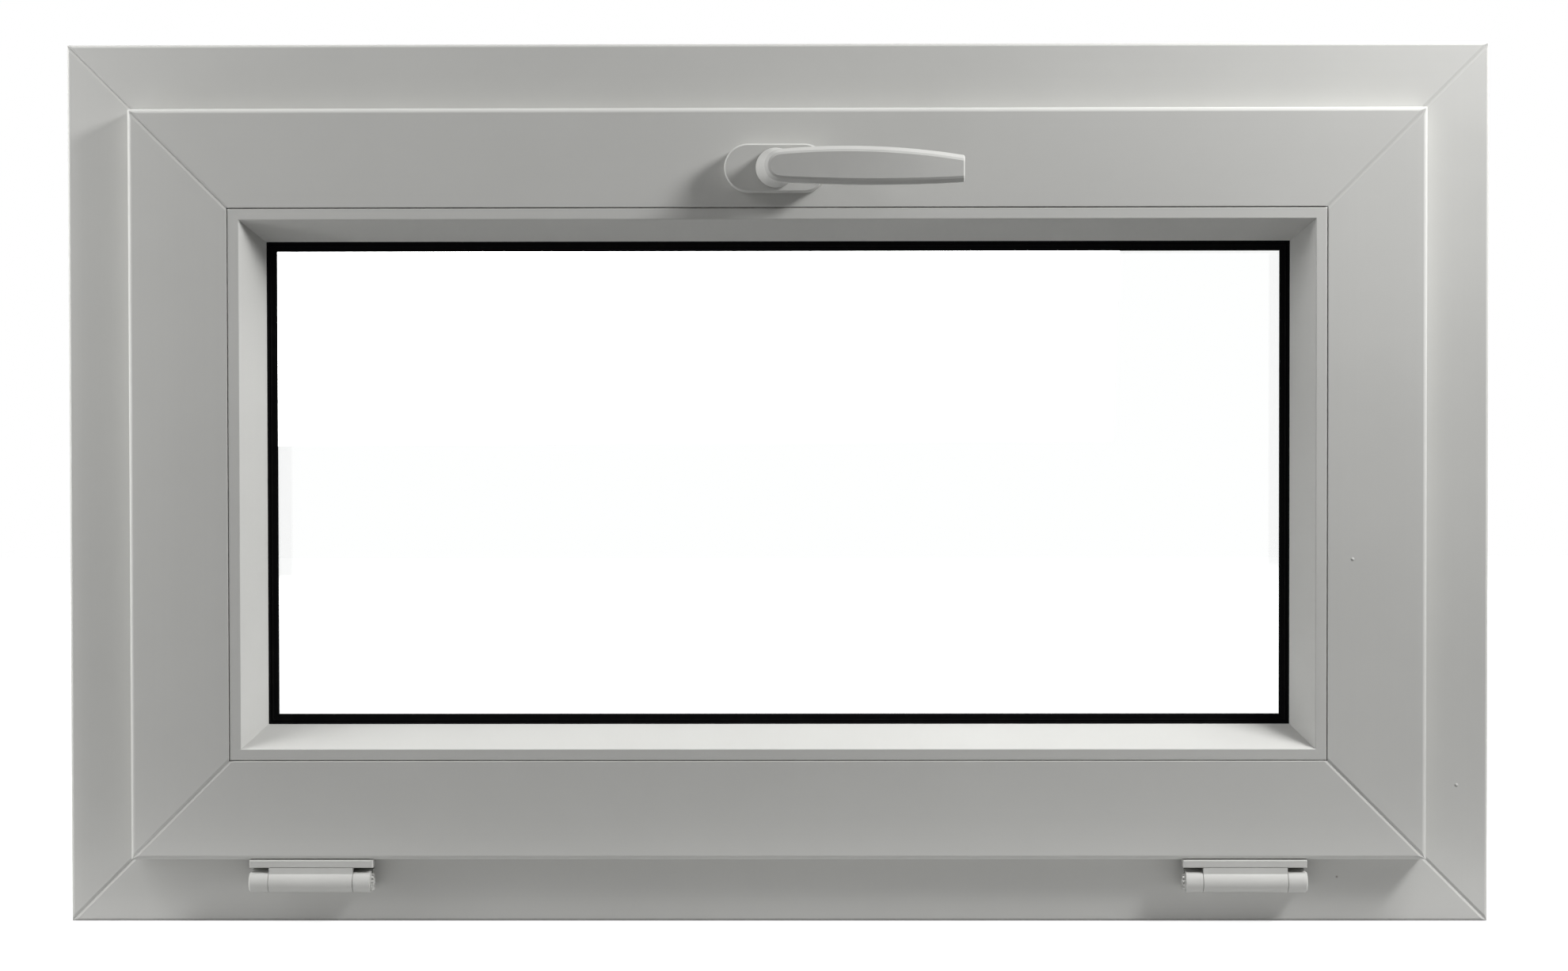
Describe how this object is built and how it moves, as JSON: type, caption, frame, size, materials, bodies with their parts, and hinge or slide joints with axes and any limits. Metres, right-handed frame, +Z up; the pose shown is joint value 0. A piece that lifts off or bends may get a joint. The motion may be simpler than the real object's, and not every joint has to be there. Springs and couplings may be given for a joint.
{
  "type": "tilt window",
  "caption": "Bottom-hung white plastic tilt window with mitred frame and sash, double glazing held by sloped beads, a turning lever handle on the top rail and barrel hinges below.",
  "frame": {"origin": "middle of the outer frame's flat bottom face, half way through its depth", "axes": "+X to the right as seen from the room, +Y through the wall towards the street, +Z up"},
  "size_m": [0.865, 0.1392, 0.535],
  "materials": {
    "white_profile": "satin extruded plastic",
    "white_hardware": "satin powder coat",
    "black_rubber": "matt",
    "clear_glass": "clear float glass",
    "spacer_aluminium": "mill finish",
    "steel": "zinc plated"
  },
  "bodies": {
    "frame": {"frame_head": "white_profile", "frame_sill": "white_profile", "frame_left_jamb": "white_profile", "frame_right_jamb": "white_profile", "frame_seal": "black_rubber", "left_hinge_frame_leaf": "white_hardware", "right_hinge_frame_leaf": "white_hardware", "left_hinge_pin": "steel", "right_hinge_pin": "steel", "left_hinge_adjuster": "white_hardware", "right_hinge_adjuster": "white_hardware", "left_drain_cover": "white_hardware", "right_drain_cover": "white_hardware"},
    "sash": {"sash_top_rail": "white_profile", "sash_bottom_rail": "white_profile", "sash_left_stile": "white_profile", "sash_right_stile": "white_profile", "sash_seal": "black_rubber", "bead_top": "white_profile", "bead_bottom": "white_profile", "bead_left": "white_profile", "bead_right": "white_profile", "inner_glazing_gasket": "black_rubber", "outer_glazing_gasket": "black_rubber", "inner_pane": "clear_glass", "outer_pane": "clear_glass", "spacer_bar": "spacer_aluminium", "lock_faceplate": "steel", "handle_rosette": "white_hardware", "left_hinge_sash_leaf": "white_hardware", "right_hinge_sash_leaf": "white_hardware"},
    "handle": {"handle_lever": "white_hardware"}
  },
  "joints": [
    {"name": "sash_tilt", "type": "hinge", "parent": "frame", "child": "sash", "pos_m": [0, -0.046, 0.0264], "axis": [1, 0, 0], "range_deg": [0, 20]},
    {"name": "handle_turn", "type": "hinge", "parent": "sash", "child": "handle", "pos_m": [0, -0.049, 0.458], "axis": [0, 1, 0], "range_deg": [0, 90]}
  ]
}
